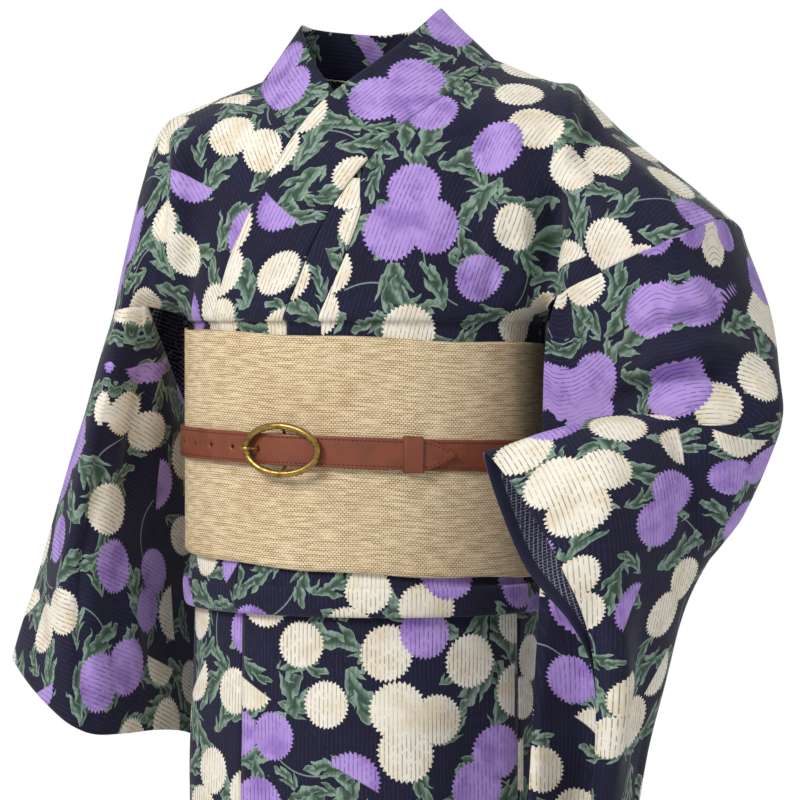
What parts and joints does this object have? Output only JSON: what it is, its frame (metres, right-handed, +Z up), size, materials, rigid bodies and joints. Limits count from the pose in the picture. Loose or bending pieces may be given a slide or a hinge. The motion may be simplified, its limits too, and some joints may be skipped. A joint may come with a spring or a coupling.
{
  "type": "cotton yukata robe",
  "caption": "Worn cotton robe with an overlapping wrapped front, wide hanging sleeves, a wound woven sash and a buckled leather belt.",
  "frame": {"origin": "base of the neck on the shoulder line, where the robe rests on its wearer", "axes": "+Z up along the body, +X to the wearer's left, -Y to the front"},
  "size_m": [0.6395, 0.4288, 1.34],
  "materials": {
    "cotton": "ribbed plain weave with a printed flower pattern",
    "sash": "coarse slubby weave",
    "leather": "smooth, stitched edges",
    "brass": "antiqued, satin"
  },
  "bodies": {
    "root": {"bodice_left": "cotton", "bodice_right": "cotton", "overlap_left_upper": "cotton", "collar": "cotton", "sleeve_left": "cotton", "sleeve_right": "cotton", "fold_back_right": "cotton", "fold_back_left": "cotton", "fold_front_left": "cotton", "fold_overlap_left": "cotton", "skirt_overlap_right": "cotton", "skirt_front_right": "cotton", "skirt_back_right": "cotton", "skirt_back_left": "cotton", "skirt_front_left": "cotton", "skirt_overlap_left": "cotton", "obi": "sash", "belt_strap": "leather", "belt_keeper": "leather", "buckle_frame": "brass", "buckle_prong": "brass"}
  },
  "joints": []
}
